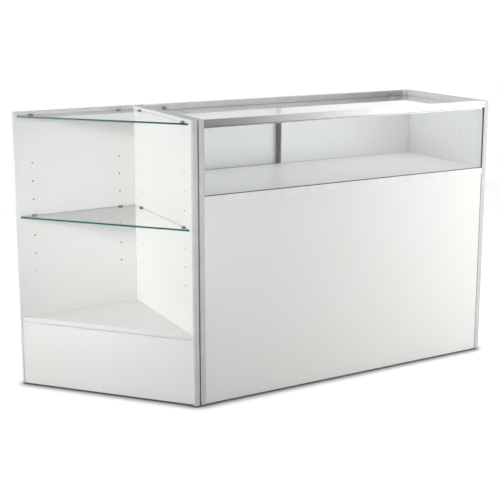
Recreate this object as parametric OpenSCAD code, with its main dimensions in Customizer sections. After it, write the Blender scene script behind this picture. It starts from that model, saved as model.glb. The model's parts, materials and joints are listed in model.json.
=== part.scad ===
// Shop counter in two knock-down modules that stand side by side: a glazed showcase counter with
// sliding doors and storage behind, and an open corner display with a glass top and a glass shelf.
// Millimetres. +Z is up, +X is the customer's right, and the customer stands on the -Y side.
// The origin is on the floor, at the middle of the whole footprint.

/* [Overall] */
// Width of the showcase counter
counter_w = 1200; // [1100:10:1500]
// Width of the corner display
corner_w = 457; // [430:1:520]
// Gap between the two modules
module_gap = 5; // [3:1:8]
// Depth of both modules
depth = 506; // [490:1:600]
// Height of the panels above the floor
height = 970; // [950:5:1050]
// Height of the floor glides
glide_h = 5; // [4:1:8]

/* [Boards and trims] */
// Thickness of the melamine-faced boards
board_t = 16; // [16:1:18]
// Wall of the trims on the front edges
trim_wall = 1; // [0.8:0.1:1.2]
// Depth of the trims on the front edges
trim_depth = 12; // [11:1:14]
// Setback of the front panel behind the trims
panel_setback = 3; // [2.5:0.5:5]

/* [Showcase] */
// Height of the display deck's top surface
deck_top = 717; // [680:1:740]
// Thickness of the front pane
pane_t = 5; // [4:0.5:5]
// Thickness of the counter's glass top
top_glass_t = 6; // [5:1:8]
// Drop from the panel tops to the glass top's surface
top_recess = 21; // [20:1:28]
// Height of the visible face of the front rail
rail_face_h = 23.5; // [22:0.5:24]
// Height of the face of the deck's front profile
deck_face_h = 22.5; // [20:0.5:26]

/* [Sliding doors] */
// Thickness of each door
door_t = 10; // [8:1:12]
// Width of each door with its stile
door_w = 622; // [610:1:640]
// Play between a closed door and the side panel
door_play = 2; // [1:0.5:4]
// Width of the door stiles
stile_w = 17; // [15:1:26]
// Diameter of the finger pulls
pull_d = 35; // [30:1:40]

/* [Storage] */
// Height of the base board's top surface
base_top = 101; // [90:1:120]
// Setback of the kick board from the staff side
kick_setback = 24; // [20:2:60]
// Height of the storage shelves' underside
storage_shelf_z = 389; // [261:64:517]

/* [Corner display] */
// Height of the corner deck's top surface
corner_deck_top = 249; // [220:1:280]
// Thickness of the corner glass
corner_glass_t = 6; // [5:1:6]
// Height of the pin row that carries the corner's glass top
top_clip_z = 950; // [940:1:952]
// Setback of the diagonal front behind the trims
diagonal_setback = 15; // [13:1:25]

/* [Shelf pin holes] */
// Diameter of the shelf pin holes
hole_d = 5; // [5:0.5:6]
// Pitch between rows of holes
hole_pitch = 64; // [32:32:64]
// Rows of holes in each column of the corner display
hole_rows = 7; // [5:2:7]
// Height of the middle row in the corner display
mid_row_z = 600; // [580:1:620]
// Setback of the first column behind the front trims
column_front = 68; // [60:1:80]
// Distance from the first column to the second on the side panels
column_run = 358; // [320:1:360]

/* [Hidden] */
$fn = 32;

white_board = "#F4F4F0";
satin_metal = "#B8B8B6";
dark_metal = "#6E6E70";
clear_glass = "#CFE3DC";
black_rubber = "#2A2A28";
grey_plastic = "#D9D9D6";

// Planes across the width
total_w = counter_w + module_gap + corner_w;
corner_left = -total_w / 2;
corner_right = corner_left + corner_w;
counter_left = corner_right + module_gap;
counter_right = total_w / 2;
side_t = board_t + 2 * trim_wall;
corner_in = corner_right - trim_wall - board_t;
bay_left = counter_left + trim_wall + board_t;
bay_right = counter_right - trim_wall - board_t;
face_left = bay_left + trim_wall;
face_right = bay_right - trim_wall;
bay_mid = (bay_left + bay_right) / 2;

// Planes across the depth
front_y = -depth / 2;
rear_y = depth / 2;
edge_y = front_y + 1.5;
trim_y = front_y + trim_depth;
panel_y = front_y + panel_setback;
corner_back_y = rear_y - board_t;

// Glazing at the front
lip_t = 2;
gasket_t = 1.2;
gasket_lip = 1.5;
groove_w = pane_t + 2 * gasket_t;
groove_y = front_y + lip_t;
back_wall_y = groove_y + groove_w;
pane_y = groove_y + gasket_t;
seal_t = 1.2;
rail_d = 20;
rail_wall = 2;

// Heights
deck_bottom = deck_top - board_t;
glass_top_z = height - top_recess;
glass_bottom_z = glass_top_z - top_glass_t;
rail_bottom = height - rail_face_h;
profile_top = deck_top + 1.5;
base_bottom = base_top - board_t;
deck_gap = 2;
plinth_setback = 1.5;

// Sliding door tracks
fin_t = 2;
channel_w = door_t + 2;
track_w = 3 * fin_t + 2 * channel_w;
rear_rail_d = 18;
rear_rail_y = rear_y - rear_rail_d;
track_y = rear_rail_y - track_w;
inner_door_y = track_y + fin_t + 1;
outer_door_y = inner_door_y + door_t + fin_t + 2;
track_depth = 7;
track_floor = 1.5;
track_rise = 0.5;
upper_fin_h = 12;
upper_fin_z = glass_bottom_z - fin_t - upper_fin_h;
runner_z = deck_top - track_depth + track_floor + 0.3;
runner_h = 3;
door_bottom = runner_z + runner_h;
door_top = upper_fin_z + 6;
left_door_x = bay_left + door_play;
right_door_x = bay_right - door_play - door_w;
stile_bottom = deck_top + 1;
stile_top = upper_fin_z - 1;
stile_web = 1.2;
stile_front = 2.5;
pull_z = (deck_top + glass_top_z) / 2;
pull_inset = 60;
pull_depth = 7;

// Shelf pin columns
column_y = [front_y + column_front, front_y + column_front + column_run];
column_x = [corner_left + 61, corner_left + 381];
pin_depth = 12;
storage_rows = 5;
storage_pin_z = storage_shelf_z - hole_d / 2;
bay_hole_z = deck_top + 127;
bay_hole_y = [front_y + 135, front_y + 372];

// Corner display
corner_deck_bottom = corner_deck_top - board_t;
plinth_top = corner_deck_bottom - deck_gap;
band_t = 1;
diagonal_start = [corner_in, front_y + diagonal_setback];
diagonal_end = [corner_left, corner_back_y];
diagonal_run = diagonal_end - diagonal_start;
diagonal_length = norm(diagonal_run);
diagonal_dir = diagonal_run / diagonal_length;
diagonal_in = [-diagonal_dir[1], diagonal_dir[0]] * -1;
diagonal_angle = atan2(diagonal_dir[1], diagonal_dir[0]);
glass_gap = 2;
jaw_t = 2;
pad_t = 1;
jaw_r = 9;

// Fittings
cam_d = 15;
cam_reach = 34;
cam_rise = 4.5;
bolt_thread = 11;
rail_screw_d = 3;
connector_z = [50, 205];
connector_y = [front_y + 100, rear_y - 80];

// Each cam joint is a place on the mating face and a turn. The bolt runs along local +X into the
// board, and the cam is let into the board's local underside.
counter_deck_cams = [for (y = [-160, 150]) each [
    [[bay_left, y, deck_bottom + board_t / 2], [0, 0, 0]],
    [[bay_right, y, deck_bottom + board_t / 2], [0, 0, 180]],
]];
counter_base_cams = [for (y = [-160, 190]) each [
    [[bay_left, y, base_bottom + board_t / 2], [0, 0, 0]],
    [[bay_right, y, base_bottom + board_t / 2], [0, 0, 180]],
]];
front_panel_cams = [for (z = [52, 350, 640]) each [
    [[bay_left, panel_y + board_t / 2, z], [90, 0, 0]],
    [[bay_right, panel_y + board_t / 2, z], [-90, 0, 180]],
]];
kick_cams = [
    [[bay_left, rear_y - kick_setback - board_t / 2, 45], [-90, 0, 0]],
    [[bay_right, rear_y - kick_setback - board_t / 2, 45], [90, 0, 180]],
];
corner_side_cams = [for (y = [-70, 170])
    [[corner_in, y, corner_deck_bottom + board_t / 2], [0, 0, 180]]
];
corner_back_cams = [for (x = [-690, -520])
    [[x, corner_back_y, corner_deck_bottom + board_t / 2], [0, 0, -90]]
];
corner_joint_cams = [for (z = [130, 540, 900])
    [[corner_in, rear_y - board_t / 2, z], [-90, 0, 180]]
];
counter_cams = concat(counter_deck_cams, counter_base_cams, front_panel_cams, kick_cams);
corner_cams = concat(corner_side_cams, corner_back_cams, corner_joint_cams);

counter_glide_places = [
    [counter_left + side_t / 2, -200], [counter_left + side_t / 2, 215],
    [counter_right - side_t / 2, -200], [counter_right - side_t / 2, 215],
    [bay_mid, rear_y - kick_setback - board_t / 2],
];
corner_glide_places = [
    [corner_in + board_t / 2, -200], [corner_in + board_t / 2, 215],
    [corner_left + 60, rear_y - board_t / 2], [corner_in - 60, rear_y - board_t / 2],
];
dowel_y = [-150, 170];
plinth_block_runs = [180, 460];
plinth_block = 22;
plinth_screw_d = 3;
plinth_screw_bite = 10;
rear_clip_x = [counter_left + 95, counter_right - 95];

// ---- shapes that repeat ----

module block(lo, hi) {
    translate(lo) cube(hi - lo);
}

module strip(y0, y1, z0, z1) {
    translate([y0, z0]) square([y1 - y0, z1 - z0]);
}

// Extrudes a section drawn in Y and Z along X
module along_x(x0, x1) {
    translate([x0, 0, 0]) rotate([90, 0, 90]) linear_extrude(x1 - x0) children();
}

module at(place) {
    translate(place[0]) rotate(place[1]) children();
}

// Hole along X through a panel, from x to x + run
module hole_x(x, y, z, d, run) {
    translate([x, y, z]) rotate([0, 90, 0]) cylinder(d = d, h = run);
}

module cam_pocket() {
    translate([cam_reach, 0, -board_t / 2 - 1]) cylinder(d = cam_d, h = board_t / 2 + 1 + cam_rise);
    translate([-1, 0, 0]) rotate([0, 90, 0]) cylinder(d = 8, h = cam_reach + 1);
}

module bolt_pocket() {
    translate([-bolt_thread, 0, 0]) rotate([0, 90, 0]) cylinder(d = 5, h = bolt_thread + 1);
}

module cam_bolt() {
    translate([-bolt_thread, 0, 0]) rotate([0, 90, 0]) cylinder(d = 5, h = bolt_thread);
    rotate([0, 90, 0]) cylinder(d = 7.6, h = 1.5);
    rotate([0, 90, 0]) cylinder(d = 5, h = cam_reach);
    translate([cam_reach - 1, 0, 0]) rotate([0, 90, 0]) cylinder(d = 7, h = 3);
}

module cam_lock() {
    difference() {
        translate([cam_reach, 0, -board_t / 2]) cylinder(d = cam_d - 0.2, h = board_t / 2 + cam_rise - 0.2);
        translate([cam_reach - 10, -4.2, -4.2]) cube([15, 8.4, 8.3]);
        translate([cam_reach - 3.5, -0.8, -board_t / 2 - 1]) cube([7, 1.6, 3]);
        translate([cam_reach - 0.8, -3.5, -board_t / 2 - 1]) cube([1.6, 7, 3]);
    }
}

// Foot with a nail that is driven up into a panel's bottom edge
module glide() {
    cylinder(d1 = board_t - 3, d2 = board_t - 1, h = glide_h * 0.6);
    translate([0, 0, glide_h * 0.6]) cylinder(d = board_t - 1, h = glide_h * 0.4);
    translate([0, 0, 1]) cylinder(d = 2.5, h = glide_h + 13);
}

module glide_pocket() {
    translate([0, 0, glide_h - 1]) cylinder(d = 2.5, h = 15);
}

// Channel section that covers a board's front edge, from the floor gap to the top
module edge_trim(x0) {
    corner_r = 1.2;
    translate([x0, front_y, glide_h])
    linear_extrude(height - glide_h)
    difference() {
        union() {
            translate([corner_r, 0]) square([side_t - 2 * corner_r, trim_depth]);
            translate([0, corner_r]) square([side_t, trim_depth - corner_r]);
            for (x = [corner_r, side_t - corner_r]) translate([x, corner_r]) circle(corner_r);
        }
        translate([trim_wall, edge_y - front_y]) square([board_t, trim_depth]);
    }
}

module pin_rows(rows, mid_z) {
    for (i = [0 : rows - 1]) translate([0, 0, mid_z + (i - (rows - 1) / 2) * hole_pitch]) children();
}

// Side panel of the counter, with its inner face on the +X side
module counter_side(left) {
    x0 = left ? bay_left - board_t : bay_right;
    hole_x0 = left ? bay_left - pin_depth : bay_right - 1;
    color(white_board)
    difference() {
        block([x0, edge_y, glide_h], [x0 + board_t, rear_y, height]);
        for (y = column_y) pin_rows(storage_rows, storage_pin_z) hole_x(hole_x0, y, 0, hole_d, pin_depth + 1);
        for (y = bay_hole_y) hole_x(hole_x0, y, bay_hole_z, hole_d, pin_depth + 1);
        for (c = counter_cams) if ((c[0][0] < bay_mid) == left) at(c) bolt_pocket();
        for (p = counter_glide_places) if (abs(p[0] - x0 - board_t / 2) < 1) translate(p) glide_pocket();
        for (s = rail_screw_places(left)) hole_x(x0 - 1, s[0], s[1], rail_screw_d, board_t + 2);
        if (left) for (y = connector_y, z = connector_z) hole_x(x0 - 1, y, z, 8, board_t + 2);
    }
}

// Y and Z of the screws that hold the rails at one end
function rail_screw_places(left) = [
    [(back_wall_y + rail_wall + front_y + rail_d - rail_wall) / 2, glass_top_z + 9],
    [rear_rail_y + rear_rail_d / 2, glass_top_z + 4],
];

// ---- counter: carcass ----

module counter_left_panel() {
    counter_side(true);
}

module counter_right_panel() {
    counter_side(false);
}

// The trims beside the front panel are notched where its fittings pass
module counter_trim(x0) {
    color(satin_metal)
    difference() {
        edge_trim(x0);
        for (c = front_panel_cams) at(c) translate([-0.5, 0, 0]) rotate([0, 90, 0]) cylinder(d = 8, h = 3);
    }
}

module counter_left_trim() {
    counter_trim(counter_left);
}

module counter_right_trim() {
    counter_trim(counter_right - side_t);
}

module counter_front_panel() {
    color(white_board)
    difference() {
        union() {
            block([bay_left, trim_y, glide_h], [bay_right, panel_y + board_t, deck_bottom]);
            block([face_left, panel_y, glide_h], [face_right, trim_y, deck_bottom]);
        }
        for (c = front_panel_cams) at(c) cam_pocket();
    }
}

module display_deck() {
    color(white_board)
    difference() {
        block([bay_left, trim_y, deck_bottom], [bay_right, rear_y, deck_top]);
        block([bay_left - 1, track_y, deck_top - track_depth], [bay_right + 1, rear_rail_y, deck_top + 1]);
        for (c = counter_deck_cams) at(c) cam_pocket();
        for (y = dowel_y) translate([bay_mid, y, deck_bottom - 1]) cylinder(d = 8, h = 9);
    }
}

module base_board() {
    color(white_board)
    difference() {
        block([bay_left, panel_y + board_t, base_bottom], [bay_right, rear_y, base_top]);
        for (c = counter_base_cams) at(c) cam_pocket();
        for (y = dowel_y) translate([bay_mid, y, base_top - 10]) cylinder(d = 8, h = 11);
    }
}

module kick_board() {
    y1 = rear_y - kick_setback;
    color(white_board)
    difference() {
        block([bay_left, y1 - board_t, glide_h], [bay_right, y1, base_bottom]);
        for (c = kick_cams) at(c) cam_pocket();
        for (p = counter_glide_places) if (p[0] == bay_mid) translate(p) glide_pocket();
    }
}

module storage_divider() {
    x0 = bay_mid - board_t / 2;
    color(white_board)
    difference() {
        block([x0, panel_y + board_t, base_top], [x0 + board_t, rear_y - 2, deck_bottom]);
        for (y = column_y) pin_rows(storage_rows, storage_pin_z) hole_x(x0 - 1, y, 0, hole_d, board_t + 2);
        for (y = dowel_y) {
            translate([bay_mid, y, deck_bottom - 22]) cylinder(d = 8, h = 23);
            translate([bay_mid, y, base_top - 1]) cylinder(d = 8, h = 21);
        }
    }
}

module storage_shelf(x0, x1) {
    low = [x0 + 1.5, panel_y + board_t + 2, storage_shelf_z];
    color(white_board) block(low, [x1 - 1.5, rear_y - 30, storage_shelf_z + board_t]);
}

module left_storage_shelf() {
    storage_shelf(bay_left, bay_mid - board_t / 2);
}

module right_storage_shelf() {
    storage_shelf(bay_mid + board_t / 2, bay_right);
}

// Pin with a collar; the board's face is at x = 0 and the shelf side is +X
module shelf_pin(depth_in) {
    rotate([0, 90, 0]) {
        translate([0, 0, -depth_in]) cylinder(d = hole_d, h = depth_in + 9);
        cylinder(d = hole_d, h = 1);
    }
}

module storage_shelf_pins() {
    color(satin_metal)
    for (y = column_y) {
        translate([bay_left, y, storage_pin_z]) shelf_pin(10);
        translate([bay_mid + board_t / 2, y, storage_pin_z]) shelf_pin(7);
        translate([bay_mid - board_t / 2, y, storage_pin_z]) rotate([0, 0, 180]) shelf_pin(7);
        translate([bay_right, y, storage_pin_z]) rotate([0, 0, 180]) shelf_pin(10);
    }
}

module divider_dowels() {
    color("#D8B98A")
    for (y = dowel_y) {
        translate([bay_mid, y, deck_bottom - 22]) cylinder(d = 8, h = 30);
        translate([bay_mid, y, base_top - 10]) cylinder(d = 8, h = 30);
    }
}

module counter_cam_bolts() {
    color(satin_metal) for (c = counter_cams) at(c) cam_bolt();
}

module counter_cam_locks() {
    color(satin_metal) for (c = counter_cams) at(c) cam_lock();
}

module counter_glides() {
    color(grey_plastic) for (p = counter_glide_places) translate(p) glide();
}

// ---- counter: showcase ----

module deck_front_profile() {
    color(satin_metal)
    along_x(face_left, face_right) {
        strip(front_y, groove_y, profile_top - deck_face_h, profile_top);
        strip(front_y, trim_y, deck_bottom, deck_bottom + 2);
        strip(back_wall_y, trim_y, deck_bottom, deck_top);
    }
}

module top_front_rail() {
    ledge_y = back_wall_y + 18;
    web_z = height - 8;
    color(satin_metal)
    along_x(face_left, face_right) {
        strip(front_y, groove_y, rail_bottom, height);
        strip(front_y, front_y + rail_d, height - rail_wall, height);
        strip(front_y, back_wall_y, web_z, web_z + rail_wall);
        strip(back_wall_y, back_wall_y + rail_wall, glass_bottom_z - rail_wall, height);
        strip(back_wall_y, ledge_y, glass_bottom_z - rail_wall, glass_bottom_z);
        strip(front_y + rail_d - rail_wall, front_y + rail_d, glass_top_z, height);
    }
}

module top_rear_rail() {
    z0 = upper_fin_z;
    color(satin_metal)
    along_x(bay_left, bay_right)
    difference() {
        strip(rear_rail_y, rear_y, z0, height);
        strip(rear_rail_y + rail_wall, rear_y - rail_wall, z0 + rail_wall, height - rail_wall);
    }
}

module front_glass() {
    low = [face_left + seal_t, pane_y, deck_bottom + 5];
    color(clear_glass, 0.35) block(low, [face_right - seal_t, pane_y + pane_t, height - 12]);
}

// Channel gaskets that grip the pane's bottom and top edges
module front_glass_gaskets() {
    x0 = face_left + seal_t;
    x1 = face_right - seal_t;
    low = deck_bottom + 2;
    color(black_rubber) {
        along_x(x0, x1) difference() {
            strip(groove_y, back_wall_y, low, profile_top + gasket_lip);
            strip(pane_y, pane_y + pane_t, low + 3, profile_top + gasket_lip + 1);
        }
        along_x(x0, x1) difference() {
            strip(groove_y, back_wall_y, rail_bottom - gasket_lip, height - 8);
            strip(pane_y, pane_y + pane_t, rail_bottom - gasket_lip - 1, height - 12);
        }
    }
}

module front_glass_side_seals() {
    color(black_rubber)
    for (x = [[face_left, face_left + seal_t], [face_right - seal_t, face_right]])
        block([x[0], groove_y, profile_top], [x[1], back_wall_y, rail_bottom]);
}

module top_glass() {
    color(clear_glass, 0.35)
    block([bay_left + 2, back_wall_y + rail_wall, glass_bottom_z], [bay_right - 2, rear_rail_y, glass_top_z]);
}

// Gusset in each rear corner, between the rail and the side panel
module rear_corner_brackets() {
    reach = 14;
    nose = 4;
    gusset = [[0, 0], [reach, 0], [reach, -nose], [nose, -reach], [0, -reach]];
    color(satin_metal)
    for (side = [[bay_left, 0], [bay_right, 1]])
        translate([side[0], rear_rail_y, glass_top_z]) mirror([side[1], 0, 0])
            linear_extrude(top_recess - 2) polygon(gusset);
}

// Small clips on the rear rail that keep the glass top from lifting
module rear_glass_clips() {
    half_w = 8;
    color(satin_metal)
    for (x = rear_clip_x) translate([x, rear_rail_y, glass_top_z]) {
        block([-half_w, -7, 0], [half_w, 0, 2]);
        block([-half_w, -2, 0], [half_w, 0, 12]);
        translate([0, -2, 7.5]) rotate([90, 0, 0]) cylinder(d = 6, h = 1.8);
    }
}

// Blocks inside the rails' ends that the end screws bite into
module rail_end_blocks() {
    block_l = 20;
    front = rail_screw_places(true)[0];
    rear = rail_screw_places(true)[1];
    front_t = rail_d - lip_t - groove_w - 2 * rail_wall;
    color(grey_plastic)
    for (end = [[face_left, bay_left, 0], [face_right, bay_right, 1]]) {
        translate([end[0], 0, 0]) mirror([end[2], 0, 0]) difference() {
            translate([0, front[0] - front_t / 2, glass_top_z + 1])
                cube([block_l, front_t, top_recess - rail_wall - 1]);
            hole_x(-1, front[0], front[1], rail_screw_d, block_l + 2);
        }
        translate([end[1], 0, 0]) mirror([end[2], 0, 0]) difference() {
            translate([0, rear_rail_y + rail_wall, glass_top_z - 8])
                cube([block_l, rear_rail_d - 2 * rail_wall, top_recess - rail_wall + 8]);
            hole_x(-1, rear[0], rear[1], rail_screw_d, block_l + 2);
        }
    }
}

// Screws through the side panels into the rails' end blocks
module rail_screws() {
    color(satin_metal)
    for (left = [true, false], s = rail_screw_places(left)) {
        outer = left ? bay_left - board_t : bay_right + board_t;
        translate([outer, s[0], s[1]]) mirror([left ? 0 : 1, 0, 0]) rotate([0, 90, 0]) {
            cylinder(d = rail_screw_d, h = board_t + 18);
            difference() {
                translate([0, 0, -0.9]) cylinder(d = 5, h = 0.9);
                for (turn = [0, 90]) rotate(turn) translate([-1.6, -0.3, -1]) cube([3.2, 0.6, 0.7]);
            }
        }
    }
}

// ---- counter: doors ----

module upper_door_track() {
    color(grey_plastic)
    along_x(bay_left, bay_right) {
        strip(track_y, rear_rail_y, glass_bottom_z - fin_t, glass_bottom_z);
        for (i = [0 : 2]) let (y = track_y + i * (channel_w + fin_t))
            strip(y, y + fin_t, upper_fin_z, glass_bottom_z);
    }
}

module lower_door_track() {
    z0 = deck_top - track_depth;
    color(grey_plastic)
    along_x(bay_left, bay_right) {
        strip(track_y, rear_rail_y, z0, z0 + track_floor);
        for (i = [0 : 2]) let (y = track_y + i * (channel_w + fin_t))
            strip(y, y + fin_t, z0, deck_top + track_rise);
    }
}

// Door board; stile_left says which vertical edge carries the stile
module door(x0, y0, stile_left) {
    board_x = stile_left ? x0 + stile_web : x0;
    pull_x = stile_left ? x0 + door_w - pull_inset : x0 + pull_inset;
    color(white_board)
    difference() {
        block([board_x, y0, door_bottom], [board_x + door_w - stile_web, y0 + door_t, door_top]);
        translate([pull_x, y0 + door_t + 1, pull_z]) rotate([90, 0, 0])
            cylinder(d = pull_d, h = pull_depth + 1, $fn = 64);
    }
}

// Stile on a door's meeting edge. Local x = 0 is the outer face of its web and +X runs over the
// door; local y = 0 is the show face of the door. A rib runs up the flat, and the far edge slopes.
module stile_section() {
    flat = stile_w - 5;
    rib = 4;
    back = door_t + stile_web;
    difference() {
        polygon([
            [0, -stile_front + 0.6], [0.6, -stile_front], [flat, -stile_front], [stile_w, -0.4],
            [stile_w, 0], [stile_w, back], [0, back],
        ]);
        translate([stile_web, 0]) square([stile_w, door_t]);
    }
    translate([(flat - rib) / 2, -stile_front - 0.8]) square([rib, 1]);
}

// The show face looks to the customer on the inner door and to the staff on the outer door
module right_door_stile() {
    color(dark_metal)
    translate([right_door_x, inner_door_y, stile_bottom])
    linear_extrude(stile_top - stile_bottom) stile_section();
}

module left_door_stile() {
    color(dark_metal)
    translate([left_door_x + door_w, outer_door_y + door_t, stile_bottom])
    rotate([0, 0, 180]) linear_extrude(stile_top - stile_bottom) stile_section();
}

// Flush cup on the staff side of a door
module door_pull(x, y0) {
    r = pull_d / 2;
    wall = 1.2;
    rim = 2.5;
    floor_z = pull_depth + wall;
    color(satin_metal)
    translate([x, y0 + door_t + wall, pull_z]) rotate([90, 0, 0])
    rotate_extrude($fn = 64) polygon([
        [0, floor_z], [0, pull_depth], [r - 3, pull_depth], [r - wall, pull_depth - 2],
        [r - wall, 0.6], [r - 0.6, 0], [r + rim - 0.6, 0], [r + rim, wall],
        [r, wall], [r, floor_z],
    ]);
}

module door_runners(x0, y0) {
    color(grey_plastic)
    for (x = [x0 + 30, x0 + door_w - 60])
        block([x, y0 + 0.5, runner_z], [x + 30, y0 + door_t - 0.5, door_bottom]);
}

module left_door() {
    door(left_door_x, outer_door_y, false);
}

module left_door_pull() {
    door_pull(left_door_x + pull_inset, outer_door_y);
}

module left_door_runners() {
    door_runners(left_door_x, outer_door_y);
}

module right_door() {
    door(right_door_x, inner_door_y, true);
}

module right_door_pull() {
    door_pull(right_door_x + door_w - pull_inset, inner_door_y);
}

module right_door_runners() {
    door_runners(right_door_x, inner_door_y);
}

// ---- link between the modules ----

module module_spacers() {
    color(grey_plastic)
    for (y = connector_y, z = connector_z) translate([corner_right - trim_wall, y, z]) rotate([0, 90, 0])
        difference() {
            cylinder(d = 22, h = module_gap + 2 * trim_wall);
            translate([0, 0, -1]) cylinder(d = 8, h = module_gap + 2 * trim_wall + 2);
        }
}

module module_connector_bolts() {
    run = module_gap + 2 * trim_wall + 2 * board_t;
    color(satin_metal)
    for (y = connector_y, z = connector_z) translate([corner_in, y, z]) rotate([0, 90, 0]) difference() {
        union() {
            cylinder(d = 8, h = run);
            for (head_z = [-1.5, run]) translate([0, 0, head_z]) cylinder(d = 15, h = 1.5);
        }
        for (socket_z = [-2.5, run - 1.5]) translate([0, 0, socket_z]) cylinder(d = 4.6, h = 4, $fn = 6);
    }
}

// ---- corner display ----

// Triangle between the two panels. The front runs along the diagonal, moved back by inset.
module corner_outline(inset) {
    start = diagonal_start + diagonal_in * inset;
    end = start + diagonal_dir * diagonal_length;
    over = diagonal_dir * 40;
    intersection() {
        polygon([[corner_in, corner_back_y], start - over, end + over, [corner_in - 5, corner_back_y + 40]]);
        translate([corner_left + 6, front_y]) square([corner_in - corner_left - 6, corner_back_y - front_y]);
    }
}

module corner_back_panel() {
    color(white_board)
    difference() {
        block([corner_left + band_t, corner_back_y, glide_h], [corner_in, rear_y, height]);
        for (x = column_x) {
            pin_rows(hole_rows, mid_row_z) translate([x, corner_back_y + pin_depth, 0]) rotate([90, 0, 0])
                cylinder(d = hole_d, h = pin_depth + 1);
            translate([x, corner_back_y + pin_depth, top_clip_z]) rotate([90, 0, 0])
                cylinder(d = hole_d, h = pin_depth + 1);
        }
        for (c = corner_joint_cams) at(c) cam_pocket();
        for (c = corner_back_cams) at(c) bolt_pocket();
        for (p = corner_glide_places) if (p[0] < corner_in) translate(p) glide_pocket();
    }
}

module corner_back_edge_band() {
    color(white_board)
    block([corner_left, corner_back_y, glide_h], [corner_left + band_t, rear_y, height]);
}

module corner_side_panel() {
    hole_x0 = corner_in - 1;
    color(white_board)
    difference() {
        block([corner_in, edge_y, glide_h], [corner_in + board_t, rear_y, height]);
        for (y = column_y) {
            pin_rows(hole_rows, mid_row_z) hole_x(hole_x0, y, 0, hole_d, pin_depth + 1);
            hole_x(hole_x0, y, top_clip_z, hole_d, pin_depth + 1);
        }
        for (c = concat(corner_side_cams, corner_joint_cams)) at(c) bolt_pocket();
        for (y = connector_y, z = connector_z) hole_x(hole_x0, y, z, 8, board_t + 2);
        for (p = corner_glide_places) if (p[0] > corner_in) translate(p) glide_pocket();
    }
}

module corner_side_trim() {
    color(satin_metal) edge_trim(corner_right - side_t);
}

module corner_deck() {
    color(white_board)
    difference() {
        translate([0, 0, corner_deck_bottom]) linear_extrude(board_t) corner_outline(band_t);
        for (c = concat(corner_side_cams, corner_back_cams)) at(c) cam_pocket();
        plinth_screw_holes();
    }
}

module corner_deck_edge_band() {
    color(grey_plastic)
    translate([0, 0, corner_deck_bottom]) linear_extrude(board_t) difference() {
        corner_outline(0);
        corner_outline(band_t);
    }
}

module corner_plinth() {
    color(white_board)
    difference() {
        translate([0, 0, glide_h]) linear_extrude(plinth_top - glide_h) difference() {
            corner_outline(plinth_setback);
            corner_outline(plinth_setback + board_t);
        }
        plinth_screw_holes();
    }
}

// Turns local X along the back of the plinth, with local y = 0 on its back face
module behind_plinth(run) {
    start = diagonal_start + diagonal_in * (plinth_setback + board_t) + diagonal_dir * run;
    translate([start[0], start[1], 0]) rotate([0, 0, diagonal_angle]) children();
}

// Places of the block screws, each with its block's face at z = 0 and the screw running up +Z.
// Two in each block rise into the deck, and two run forward into the plinth.
module plinth_screw_places() {
    for (run = plinth_block_runs) behind_plinth(run) {
        for (x = [-14, 14]) translate([x, -plinth_block / 2, corner_deck_bottom - plinth_block]) children();
        for (x = [-5, 5]) translate([x, -plinth_block, corner_deck_bottom - plinth_block / 2])
            rotate([-90, 0, 0]) children();
    }
}

module plinth_screw_holes() {
    plinth_screw_places() translate([0, 0, -1])
        cylinder(d = plinth_screw_d, h = plinth_block + plinth_screw_bite + 1);
}

// Blocks in the angle between the plinth's back and the deck's underside
module corner_plinth_blocks() {
    color(grey_plastic)
    difference() {
        for (run = plinth_block_runs) behind_plinth(run)
            translate([-plinth_block, -plinth_block, corner_deck_bottom - plinth_block])
                cube([2 * plinth_block, plinth_block, plinth_block]);
        plinth_screw_holes();
    }
}

module corner_plinth_screws() {
    color(satin_metal)
    plinth_screw_places() {
        cylinder(d = plinth_screw_d, h = plinth_block + plinth_screw_bite);
        translate([0, 0, -1.5]) cylinder(d = 6, h = 1.5);
    }
}

module corner_glass(z) {
    color(clear_glass, 0.35)
    translate([0, 0, z]) linear_extrude(corner_glass_t)
    polygon([
        [corner_in - glass_gap, corner_back_y - glass_gap],
        [corner_in - glass_gap, front_y + 27],
        [corner_in - glass_gap - 2, front_y + 27],
        [corner_left + 13, corner_back_y - glass_gap - 2],
        [corner_left + 13, corner_back_y - glass_gap],
    ]);
}

function glass_z(pin_z) = pin_z + jaw_t / 2 + pad_t;

module corner_glass_top() {
    corner_glass(glass_z(top_clip_z));
}

module corner_glass_shelf() {
    corner_glass(glass_z(mid_row_z));
}

// Half-round clamp; the wall is at y = 0 and the shelf side is -Y, with the pin on the axis
module glass_clip() {
    gap = corner_glass_t + 2 * pad_t;
    rotate([-90, 0, 0]) cylinder(d = hole_d, h = pin_depth - 1);
    for (z = [-jaw_t / 2, jaw_t / 2 + gap]) translate([0, 0, z]) intersection() {
        translate([0, -3, 0]) cylinder(r = jaw_r, h = jaw_t);
        translate([-jaw_r, -2 * jaw_r, 0]) cube([2 * jaw_r, 2 * jaw_r, jaw_t]);
    }
    translate([-6, -glass_gap + 0.4, -jaw_t / 2]) cube([12, glass_gap - 0.4, gap + 2 * jaw_t]);
}

module clip_pads() {
    for (z = [jaw_t / 2, jaw_t / 2 + pad_t + corner_glass_t])
        translate([-5, -9, z]) cube([10, 9 - glass_gap, pad_t]);
}

// Repeats its child at the four clip places of one glass
module clip_places(z) {
    for (x = column_x) translate([x, corner_back_y, z]) children();
    for (y = column_y) translate([corner_in, y, z]) rotate([0, 0, -90]) children();
}

module corner_top_clips() {
    color(dark_metal) clip_places(top_clip_z) glass_clip();
}

module corner_shelf_clips() {
    color(dark_metal) clip_places(mid_row_z) glass_clip();
}

module glass_clip_pads() {
    color(grey_plastic) for (z = [top_clip_z, mid_row_z]) clip_places(z) clip_pads();
}

module corner_cam_bolts() {
    color(satin_metal) for (c = corner_cams) at(c) cam_bolt();
}

module corner_cam_locks() {
    color(satin_metal) for (c = corner_cams) at(c) cam_lock();
}

module corner_glides() {
    color(grey_plastic) for (p = corner_glide_places) translate(p) glide();
}

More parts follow.
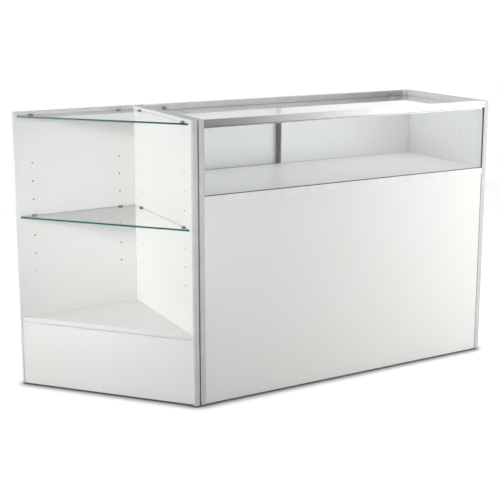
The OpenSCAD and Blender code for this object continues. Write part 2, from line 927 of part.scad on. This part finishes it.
counter_left_panel();
counter_right_panel();
counter_left_trim();
counter_right_trim();
counter_front_panel();
display_deck();
deck_front_profile();
top_front_rail();
top_rear_rail();
front_glass();
front_glass_gaskets();
front_glass_side_seals();
top_glass();
rear_corner_brackets();
rear_glass_clips();
rail_end_blocks();
rail_screws();
upper_door_track();
lower_door_track();
left_door();
left_door_stile();
left_door_pull();
left_door_runners();
right_door();
right_door_stile();
right_door_pull();
right_door_runners();
base_board();
kick_board();
storage_divider();
left_storage_shelf();
right_storage_shelf();
storage_shelf_pins();
divider_dowels();
counter_cam_bolts();
counter_cam_locks();
counter_glides();
module_spacers();
module_connector_bolts();
corner_back_panel();
corner_side_panel();
corner_side_trim();
corner_back_edge_band();
corner_deck();
corner_deck_edge_band();
corner_plinth();
corner_plinth_blocks();
corner_plinth_screws();
corner_glass_top();
corner_glass_shelf();
corner_top_clips();
corner_shelf_clips();
glass_clip_pads();
corner_cam_bolts();
corner_cam_locks();
corner_glides();
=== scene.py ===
"""Materials, light and camera for the shop counter. The CAD frame gives every shape and place."""

import json
import math

import bpy
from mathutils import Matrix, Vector


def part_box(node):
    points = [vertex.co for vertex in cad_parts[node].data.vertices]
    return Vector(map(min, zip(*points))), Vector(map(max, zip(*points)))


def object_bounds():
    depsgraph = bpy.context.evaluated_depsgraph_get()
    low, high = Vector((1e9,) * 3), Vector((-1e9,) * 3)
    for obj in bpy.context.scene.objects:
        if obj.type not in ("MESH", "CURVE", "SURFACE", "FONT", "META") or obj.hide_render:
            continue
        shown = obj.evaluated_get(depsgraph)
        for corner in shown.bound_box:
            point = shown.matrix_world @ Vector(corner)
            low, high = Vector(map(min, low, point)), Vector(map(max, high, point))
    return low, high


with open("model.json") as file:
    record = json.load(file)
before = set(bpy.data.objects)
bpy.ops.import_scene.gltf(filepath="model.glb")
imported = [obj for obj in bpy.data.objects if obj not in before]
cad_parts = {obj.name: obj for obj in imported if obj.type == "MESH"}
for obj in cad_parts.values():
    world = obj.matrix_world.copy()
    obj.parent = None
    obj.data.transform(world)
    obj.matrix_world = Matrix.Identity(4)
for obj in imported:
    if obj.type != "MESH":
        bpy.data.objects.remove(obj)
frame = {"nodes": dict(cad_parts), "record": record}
nodes = frame["nodes"]
rest_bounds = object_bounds()
low, high = (Vector(corner) for corner in rest_bounds)

MM = 0.001


# ---- node helpers ----


class Graph:
    """A node tree, and short calls that add nodes to it."""

    def __init__(self, tree):
        self.tree = tree

    def node(self, kind, **settings):
        made = self.tree.nodes.new(kind)
        for key, value in settings.items():
            setattr(made, key, value)
        return made

    def put(self, value, socket):
        """Links another node's output to a socket, or sets the socket to a fixed value."""
        if isinstance(value, bpy.types.NodeSocket):
            self.tree.links.new(value, socket)
        else:
            socket.default_value = value

    def maths(self, operation, *values, kind="ShaderNodeMath"):
        made = self.node(kind, operation=operation)
        for value, socket in zip(values, made.inputs):
            self.put(value, socket)
        return made.outputs[0]

    def vector_maths(self, operation, *values):
        return self.maths(operation, *values, kind="ShaderNodeVectorMath")

    def axes(self, vector):
        made = self.node("ShaderNodeSeparateXYZ")
        self.put(vector, made.inputs[0])
        return made.outputs

    def spread(self, value, low_out, high_out, low_in=0.3, high_in=0.7, **settings):
        """Maps low_in..high_in to low_out..high_out. Noise lies mostly within the default range."""
        made = self.node("ShaderNodeMapRange", **settings)
        made.inputs["From Min"].default_value = low_in
        made.inputs["From Max"].default_value = high_in
        made.inputs["To Min"].default_value = low_out
        made.inputs["To Max"].default_value = high_out
        self.put(value, made.inputs["Value"])
        return made.outputs["Result"]

    def choose(self, share, first, second):
        """A mix of two numbers, each fixed or another node's output."""
        made = self.node("ShaderNodeMix")
        for value, name in ((share, "Factor"), (first, "A"), (second, "B")):
            self.put(value, made.inputs[name])
        return made.outputs["Result"]


class Surface(Graph):
    """A material with one Principled shader."""

    def __init__(self, name):
        self.material = bpy.data.materials.new(name)
        self.material.use_nodes = True
        super().__init__(self.material.node_tree)
        self.shader = self.tree.nodes["Principled BSDF"]
        self.place = self.node("ShaderNodeTexCoord").outputs["Object"]

    def feed(self, **values):
        """Gives the shader's sockets fixed values or other nodes' outputs. Underscores stand for spaces."""
        for key, value in values.items():
            self.put(value, self.shader.inputs[key.replace("_", " ")])

    def stretched(self, scale):
        mapping = self.node("ShaderNodeMapping")
        mapping.inputs["Scale"].default_value = scale
        self.put(self.place, mapping.inputs["Vector"])
        return mapping.outputs["Vector"]

    def noise(self, scale, detail, roughness=0.5, vector=None):
        made = self.node("ShaderNodeTexNoise")
        made.inputs["Scale"].default_value = scale
        made.inputs["Detail"].default_value = detail
        made.inputs["Roughness"].default_value = roughness
        self.put(vector or self.place, made.inputs["Vector"])
        return made.outputs["Fac"]

    def blend(self, share, first, second):
        """A mix of two colours, each a tuple or another node's output."""
        made = self.node("ShaderNodeMix", data_type="RGBA")
        sockets = {s.identifier: s for s in made.inputs}
        for name, colour in (("A_Color", first), ("B_Color", second)):
            self.put((*colour, 1) if isinstance(colour, tuple) else colour, sockets[name])
        self.put(share, sockets["Factor_Float"])
        return next(s for s in made.outputs if s.identifier == "Result_Color")

    def uneven(self, noise, tone, share):
        """A tone that falls to a share of itself where the noise is high."""
        return self.blend(self.spread(noise, 0.0, 1.0), tone, tuple(c * share for c in tone))

    def bump(self, height, distance, strength):
        made = self.node("ShaderNodeBump")
        made.inputs["Strength"].default_value = strength
        made.inputs["Distance"].default_value = distance
        self.put(height, made.inputs["Height"])
        return made.outputs["Normal"]


# ---- materials ----

WHITE = (0.83, 0.83, 0.815)
# What the white is multiplied by where it is warmest
WARMEST = (0.985, 0.985, 0.968)
# The doors take a lighter copy of the panels' white, as painted light on their faces
PAINTED_LIGHT_DOOR_WHITE = (0.93, 0.93, 0.935)
DOORS = ("left_door", "right_door")

# How thick a board's facing is, and the chipboard under it, painted near black as the shade deep inside
# holes
FACING = 0.2 * MM
CORE_AND_SHADE_DARK = (0.012, 0.008, 0.005)
CORE_AND_SHADE_PALE = (0.030, 0.020, 0.013)
# How much a board shines where its facing shows
SHINE = 0.5
# A grey band painted on the boards' top edges as shade, and how far down it shows
TOP_SHADE_DEPTH = 0.5 * MM
PAINTED_TOP_SHADE = (0.40, 0.40, 0.39)

# How close the lines on an extrusion lie, across it and along it
LINES_ACROSS = 2600.0
LINES_ALONG = 4.0
# A highlight is painted on the door edging where its surface turns this far towards +X
HIGHLIGHT_START = 0.04
HIGHLIGHT_FULL = 0.1

# How far the surface of glass turns along its thin axis where it is a ground edge, and where a face
GLASS_EDGE = 0.6
GLASS_FACE = 0.75
GROUND_ROUGHNESS = 0.25
GROUND_CLEARNESS = 0.25
# The faint smears on a face: how rough they are, and the noise between which they start
SMEAR_ROUGHNESS = 0.012
SMEAR_START = 0.55
SMEAR_FULL = 0.8
# The green of the ground edges, and the tints of a face, of light passing through and of the glass itself
EDGE_DARK = (0.010, 0.105, 0.080)
EDGE_PALE = (0.020, 0.150, 0.115)
FACE_TINT = (0.985, 0.995, 0.992)
SHADOW_TINT = (0.965, 0.975, 0.972, 1)
DEPTH_TINT = (0.45, 0.85, 0.74, 1)
DEPTH_DENSITY = 1.5

# How close the wood grain lies along each axis, and its tones
GRAIN = (900.0, 900.0, 40.0)
BEECH_DARK = (0.62, 0.43, 0.25)
BEECH_PALE = (0.72, 0.54, 0.34)


def pearl(surface, tone):
    """White melamine facing: a fine pearl texture and a slight unevenness of tone. Returns its colour."""
    grain = surface.noise(scale=700.0, detail=2.0, roughness=0.6)
    surface.feed(Roughness=surface.spread(grain, 0.34, 0.46), IOR=1.5)
    surface.feed(Normal=surface.bump(grain, distance=0.06 * MM, strength=0.35))
    cloud = surface.noise(scale=2.3, detail=2.0)
    warm = tuple(c * f for c, f in zip(tone, WARMEST))
    return surface.blend(surface.spread(cloud, 0.0, 1.0), tone, warm)


def board(name, tone, box):
    """A faced chipboard panel, with a grey band painted as shade along the object's top edge. Where a
    surface lies deeper than the facing, as in a hole, the core shows, painted near black as the hole's
    shade."""
    surface = Surface(name)
    face = pearl(surface, tone)
    chips = surface.noise(scale=420.0, detail=3.0, roughness=0.7)
    # Painted shade: the core is chipboard darkened near black, standing for the shade inside holes
    core_and_shade = surface.blend(surface.spread(chips, 0.0, 1.0), CORE_AND_SHADE_DARK, CORE_AND_SHADE_PALE)
    centre = (box[0] + box[1]) / 2
    inner = (box[1] - box[0]) / 2 - Vector((FACING, FACING, FACING))
    reach = surface.vector_maths("ABSOLUTE", surface.vector_maths("SUBTRACT", surface.place, centre))
    depth = surface.axes(surface.vector_maths("SUBTRACT", inner, reach))
    least = depth["X"]
    for axis in "YZ":
        least = surface.maths("MINIMUM", least, depth[axis])
    inside = surface.maths("GREATER_THAN", least, 0.0)
    # Painted shade: the top edges of the boards are coloured grey
    top_shade_mask = surface.maths("GREATER_THAN", surface.axes(surface.place)["Z"], high.z - TOP_SHADE_DEPTH)
    top_shaded = surface.blend(top_shade_mask, face, PAINTED_TOP_SHADE)
    surface.feed(Base_Color=surface.blend(inside, top_shaded, core_and_shade))
    surface.feed(Specular_IOR_Level=surface.spread(inside, SHINE, 0.0, 0.0, 1.0))
    return surface.material


def facing(name, tone):
    """The same facing, on a piece whose core is not shown."""
    surface = Surface(name)
    surface.feed(Base_Color=pearl(surface, tone))
    return surface.material


def die_lines(surface, along):
    """The fine lines that an extrusion die leaves along one axis."""
    scale = [LINES_ACROSS, LINES_ACROSS, LINES_ACROSS]
    scale["XYZ".index(along)] = LINES_ALONG
    lines = surface.noise(scale=1.0, detail=3.0, roughness=0.6, vector=surface.stretched(scale))
    surface.feed(Normal=surface.bump(lines, distance=0.02 * MM, strength=0.3), Metallic=1.0)
    return lines


def satin_metal(name, tone, along, roughness):
    """Satin anodised extrusion, whose finish varies a little."""
    surface = Surface(name)
    lines = die_lines(surface, along)
    haze = surface.noise(scale=9.0, detail=3.0)
    surface.feed(Base_Color=surface.uneven(haze, tone, share=0.93))
    surface.feed(Roughness=surface.spread(lines, roughness - 0.04, roughness + 0.05))
    return surface.material


def stile_metal(name, tone, highlight):
    """Dark anodised door edging, with a highlight painted on its side that slopes towards +X."""
    surface = Surface(name)
    lines = die_lines(surface, "Z")
    slope = surface.axes(surface.node("ShaderNodeNewGeometry").outputs["Normal"])["X"]
    # Painted highlight: the side facing +X takes the bright tone
    painted_highlight = surface.spread(slope, 0.0, 1.0, HIGHLIGHT_START, HIGHLIGHT_FULL)
    surface.feed(Base_Color=surface.blend(painted_highlight, tone, highlight))
    surface.feed(Roughness=surface.spread(lines, 0.10, 0.19))
    return surface.material


def cast_metal(name, tone, roughness):
    """Plated or cast fittings: a slightly mottled surface."""
    surface = Surface(name)
    mottle = surface.noise(scale=420.0, detail=4.0, roughness=0.6)
    surface.feed(Base_Color=surface.uneven(mottle, tone, share=0.8))
    surface.feed(Roughness=surface.spread(mottle, roughness - 0.06, roughness + 0.08))
    surface.feed(Normal=surface.bump(mottle, distance=0.05 * MM, strength=0.3), Metallic=1.0)
    return surface.material


def moulded(name, tone, roughness):
    """Plastic, rubber and coated metal: a skin with a little mottling."""
    surface = Surface(name)
    skin = surface.noise(scale=1500.0, detail=2.0, roughness=0.6)
    drift = surface.noise(scale=30.0, detail=2.0)
    surface.feed(Base_Color=surface.uneven(drift, tone, share=0.92))
    surface.feed(Roughness=surface.spread(skin, roughness - 0.05, roughness + 0.07))
    surface.feed(Normal=surface.bump(skin, distance=0.04 * MM, strength=0.3), IOR=1.46)
    return surface.material


def float_glass(name, across):
    """Clear float glass, thin along one axis. Its ground edges are milky and show the green in its depth.
    Light passes through it with a slight tint."""
    surface = Surface(name)
    normal = surface.axes(surface.node("ShaderNodeNewGeometry").outputs["Normal"])
    flatness = surface.maths("ABSOLUTE", normal[across])
    face = surface.spread(flatness, 0.0, 1.0, GLASS_EDGE, GLASS_FACE)
    smear = surface.noise(scale=14.0, detail=4.0, roughness=0.6)
    polish = surface.spread(smear, 0.0, SMEAR_ROUGHNESS, SMEAR_START, SMEAR_FULL)
    ground = surface.spread(face, GROUND_ROUGHNESS, 0.0, 0.0, 1.0)
    edge = surface.blend(surface.spread(smear, 0.0, 1.0), EDGE_DARK, EDGE_PALE)
    surface.feed(Base_Color=surface.blend(face, edge, FACE_TINT), IOR=1.52)
    surface.feed(Roughness=surface.maths("ADD", polish, ground))
    surface.feed(Transmission_Weight=surface.spread(face, GROUND_CLEARNESS, 1.0, 0.0, 1.0))
    clear = surface.node("ShaderNodeBsdfTransparent")
    clear.inputs["Color"].default_value = SHADOW_TINT
    mix = surface.node("ShaderNodeMixShader")
    surface.put(surface.node("ShaderNodeLightPath").outputs["Is Shadow Ray"], mix.inputs["Fac"])
    surface.put(surface.shader.outputs["BSDF"], mix.inputs[1])
    surface.put(clear.outputs["BSDF"], mix.inputs[2])
    tint = surface.node("ShaderNodeVolumeAbsorption")
    tint.inputs["Color"].default_value = DEPTH_TINT
    tint.inputs["Density"].default_value = DEPTH_DENSITY
    output = surface.tree.nodes["Material Output"]
    surface.put(mix.outputs["Shader"], output.inputs["Surface"])
    surface.put(tint.outputs["Volume"], output.inputs["Volume"])
    return surface.material


def beech(name):
    """Wood, with its grain along Z."""
    surface = Surface(name)
    grain = surface.noise(scale=1.0, detail=4.0, roughness=0.6, vector=surface.stretched(GRAIN))
    surface.feed(Base_Color=surface.blend(surface.spread(grain, 0.0, 1.0), BEECH_DARK, BEECH_PALE))
    surface.feed(Roughness=surface.spread(grain, 0.5, 0.65))
    surface.feed(Normal=surface.bump(grain, distance=0.1 * MM, strength=0.4))
    return surface.material


finish = {
    "white_board": facing("white_board", WHITE),
    "edge_band": facing("edge_band", (0.79, 0.79, 0.81)),
    "satin_aluminium": satin_metal("satin_aluminium", (0.76, 0.76, 0.75), "X", 0.2),
    "coated_aluminium": moulded("coated_aluminium", (0.87, 0.87, 0.865), 0.4),
    "trim_aluminium": moulded("trim_aluminium", (0.63, 0.63, 0.62), 0.36),
    "stile_aluminium": stile_metal("stile_aluminium", (0.24, 0.24, 0.245), (0.80, 0.80, 0.79)),
    "pull_aluminium": cast_metal("pull_aluminium", (0.68, 0.68, 0.67), 0.26),
    "clear_glass": float_glass("clear_glass", "Z"),
    "upright_glass": float_glass("upright_glass", "Y"),
    "black_rubber": moulded("black_rubber", (0.022, 0.022, 0.021), 0.55),
    "pale_plastic": moulded("pale_plastic", (0.66, 0.66, 0.64), 0.42),
    "clear_pad": moulded("clear_pad", (0.74, 0.76, 0.75), 0.2),
    "clip_steel": cast_metal("clip_steel", (0.23, 0.23, 0.235), 0.3),
    "plated_steel": cast_metal("plated_steel", (0.62, 0.62, 0.61), 0.28),
    "zinc_casting": cast_metal("zinc_casting", (0.52, 0.52, 0.51), 0.42),
    "beech": beech("beech"),
}
# A board that stands at a slant, where its box can't tell how deep a surface lies
SLANTED = ("corner_plinth",)
# Pieces whose finish differs from the rest of their slot, because they stand upright or are coated
SPECIAL = {
    "counter_left_trim": "trim_aluminium",
    "counter_right_trim": "trim_aluminium",
    "corner_side_trim": "trim_aluminium",
    "deck_front_profile": "coated_aluminium",
    "top_rear_rail": "coated_aluminium",
    "rear_corner_brackets": "coated_aluminium",
    "front_glass": "upright_glass",
}

# Edge radius of each finish, in metres
ARRIS = {
    "white_board": 0.4 * MM,
    "satin_aluminium": 0.3 * MM,
    "stile_aluminium": 0.3 * MM,
    "coated_aluminium": 0.3 * MM,
    "trim_aluminium": 0.3 * MM,
    "clear_glass": 0.7 * MM,
    "upright_glass": 0.7 * MM,
    "clip_steel": 0.3 * MM,
    "pale_plastic": 0.25 * MM,
}
# Points nearer than SAME_POINT are merged, and faces that turn by less than SAME_FACE are joined. Edges
# that turn by more than SHARP are rounded
SAME_POINT = 0.01 * MM
SAME_FACE = math.radians(0.5)
SHARP = math.radians(50)


def soften(piece, radius):
    """Rounds a piece's sharp edges. Its own mesh stays as it is."""
    weld = piece.modifiers.new("weld", "WELD")
    weld.merge_threshold = SAME_POINT
    flat = piece.modifiers.new("flat", "DECIMATE")
    flat.decimate_type = "DISSOLVE"
    flat.angle_limit = SAME_FACE
    bevel = piece.modifiers.new("bevel", "BEVEL")
    bevel.width = radius
    bevel.segments = 2
    bevel.limit_method = "ANGLE"
    bevel.angle_limit = SHARP
    bevel.use_clamp_overlap = True


for part in frame["record"]["subparts"]:
    name = part["node"]
    piece = nodes[name]
    kind = SPECIAL.get(name, part["material_slot"])
    piece.data.materials.clear()
    if kind == "white_board" and name not in SLANTED:
        # Painted light: the doors get the lighter copy of the white
        tone = PAINTED_LIGHT_DOOR_WHITE if name in DOORS else WHITE
        piece.data.materials.append(board(name + "_board", tone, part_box(name)))
    else:
        piece.data.materials.append(finish[kind])
    if kind in ARRIS:
        soften(piece, ARRIS[kind])


# ---- studio ----

# The room's strength on the customer's side and behind, and the Y direction at which each is reached
ROOM_FRONT = 0.17
ROOM_BACK = 0.86
ROOM_TURN = 0.35
ROOM_COLOUR = (0.98, 0.98, 1.0, 1)
# The bright wall's strength, and the X directions between which it starts
ROOM_WALL = 2.2
WALL_START = 0.46
WALL_FULL = 0.64
# The share of the wall's strength left behind the object, and the Y direction at which it is reached
WALL_BEHIND = 0.35
WALL_TURN = 0.25
# The Z directions between which the wall ends
WALL_FADE = 0.32
WALL_TOP = 0.5
# What the camera sees around the object
SURROUND = 1.03

FLOOR_SIZE = (6.6, 6.6)
FLOOR_TONE = (0.55, 0.55, 0.55)
FLOOR_GLOW = 0.6
# How near a piece must be to darken the floor with painted shadow, and the darkest tone as a share of the
# floor's own
SHADOW_REACH = 0.05
PAINTED_SHADOW_SHARE = 0.45
# The openness at which the floor's painted shadow is darkest, and those at which its tone and its glow are
# full
OPEN_LEAST = 0.5
OPEN_TONE = 0.9
OPEN_GLOW = 1.0


def floor_surface():
    """A plain matt floor. Its glow is seen but lights nothing. Tone and glow fall close to the counter,
    as a painted contact shadow.
    """
    surface = Surface("floor")
    clean = surface.uneven(surface.noise(scale=3.0, detail=2.0), FLOOR_TONE, share=0.99)
    surface.feed(Roughness=0.9, Emission_Color=(1, 1, 1, 1))
    room = surface.node("ShaderNodeAmbientOcclusion", samples=24)
    room.inputs["Distance"].default_value = SHADOW_REACH
    openness = room.outputs["AO"]
    # Painted shadow: the floor's tone and glow fall where the counter stands close
    shade = surface.spread(openness, 0.0, 1.0, OPEN_LEAST, OPEN_TONE)
    surface.feed(Base_Color=surface.blend(shade, tuple(c * PAINTED_SHADOW_SHARE for c in FLOOR_TONE), clean))
    glow = surface.spread(openness, 0.0, FLOOR_GLOW, OPEN_LEAST, OPEN_GLOW)
    seen = surface.node("ShaderNodeLightPath").outputs["Is Camera Ray"]
    surface.feed(Emission_Strength=surface.maths("MULTIPLY", glow, seen))
    return surface.material


def sheet(name, size, material):
    bpy.ops.mesh.primitive_plane_add(size=1)
    made = bpy.context.object
    made.name = name
    made.scale = (size[0], size[1], 1)
    made.data.materials.append(material)


def around(azimuth, distance, height):
    """A place around the object. Azimuth 0 is straight in front of the customer's side, and 90 is at +X."""
    turn = math.radians(azimuth)
    return Vector((distance * math.sin(turn), -distance * math.cos(turn), height))


def softbox(name, place, target, size, power, spread=180.0, mirrored=True):
    """A soft lamp. A small spread makes it a beam, and mirrored is whether shiny pieces reflect it."""
    light = bpy.data.lights.new(name, "AREA")
    light.shape = "RECTANGLE"
    light.size, light.size_y = size
    light.energy = power
    light.spread = math.radians(spread)
    made = bpy.data.objects.new(name, light)
    made.visible_glossy = mirrored
    made.visible_transmission = mirrored
    made.location = place
    made.rotation_euler = (target - place).to_track_quat("-Z", "Y").to_euler()
    bpy.context.scene.collection.objects.link(made)


def build_room():
    """Dim on the customer's side and white behind, with a low bright wall to the right that only shiny
    pieces show. Light that has passed through glass counts as mirrored, so it sees the wall too."""
    world = bpy.data.worlds.new("studio")
    bpy.context.scene.world = world
    world.use_nodes = True
    graph = Graph(world.node_tree)
    direction = graph.axes(graph.node("ShaderNodeTexCoord").outputs["Generated"])
    path = graph.node("ShaderNodeLightPath").outputs
    smooth = {"interpolation_type": "SMOOTHSTEP"}
    room = graph.spread(direction["Y"], ROOM_FRONT, ROOM_BACK, -ROOM_TURN, ROOM_TURN, **smooth)
    across = graph.spread(direction["X"], 0.0, 1.0, WALL_START, WALL_FULL, **smooth)
    ahead = graph.spread(direction["Y"], 1.0, WALL_BEHIND, 0.0, WALL_TURN, **smooth)
    upward = graph.spread(direction["Z"], 1.0, 0.0, WALL_FADE, WALL_TOP, **smooth)
    wall = graph.maths("MULTIPLY", graph.maths("MULTIPLY", across, ahead), upward)
    mirrored = graph.choose(wall, room, ROOM_WALL)
    lit = graph.choose(path["Is Glossy Ray"], room, mirrored)
    back = graph.tree.nodes["Background"].inputs
    back["Color"].default_value = ROOM_COLOUR
    graph.put(graph.choose(path["Is Camera Ray"], lit, SURROUND), back["Strength"])


middle = (low + high) / 2
sheet("floor", FLOOR_SIZE, floor_surface())
softbox(
    "key",
    place=Vector((1.75, -1.7, 0.68)),
    target=middle + Vector((0.5, 0, 0.15)),
    size=(1.2, 0.5),
    power=23.5,
    mirrored=False,
)
softbox(
    "left",
    place=around(azimuth=-86, distance=8.0, height=1.4),
    target=middle,
    size=(2.4, 2.4),
    power=262,
)
softbox(
    "fill",
    place=Vector((-1.7, -1.6, 1.3)),
    target=Vector((-0.6, 0.24, 0.6)),
    size=(0.6, 0.6),
    power=1.05,
    spread=32,
    mirrored=False,
)
softbox(
    "overhead",
    place=Vector((0, -0.5, 3.8)),
    target=middle,
    size=(5.0, 4.0),
    power=50,
)
softbox(
    "frontal",
    place=Vector((0.9, -3.4, 0.95)),
    target=middle + Vector((0.2, 0, 0.3)),
    size=(2.0, 0.4),
    power=16.5,
    mirrored=False,
)
build_room()

# ---- camera ----

CAMERA_PLACE = (-1.820, -3.250, 1.388)
CAMERA_TURN = 28.65
CAMERA_TILT = 10.98
CAMERA_LENS = 75.5
CAMERA_SHIFT = -0.12

camera = bpy.data.objects.new("camera", bpy.data.cameras.new("camera"))
bpy.context.scene.collection.objects.link(camera)
camera.location = CAMERA_PLACE
camera.rotation_euler = (math.radians(90 - CAMERA_TILT), 0, math.radians(-CAMERA_TURN))
camera.data.lens = CAMERA_LENS
camera.data.shift_y = CAMERA_SHIFT
bpy.context.scene.camera = camera

view = bpy.context.scene.view_settings
view.view_transform = "Standard"
view.look = "None"
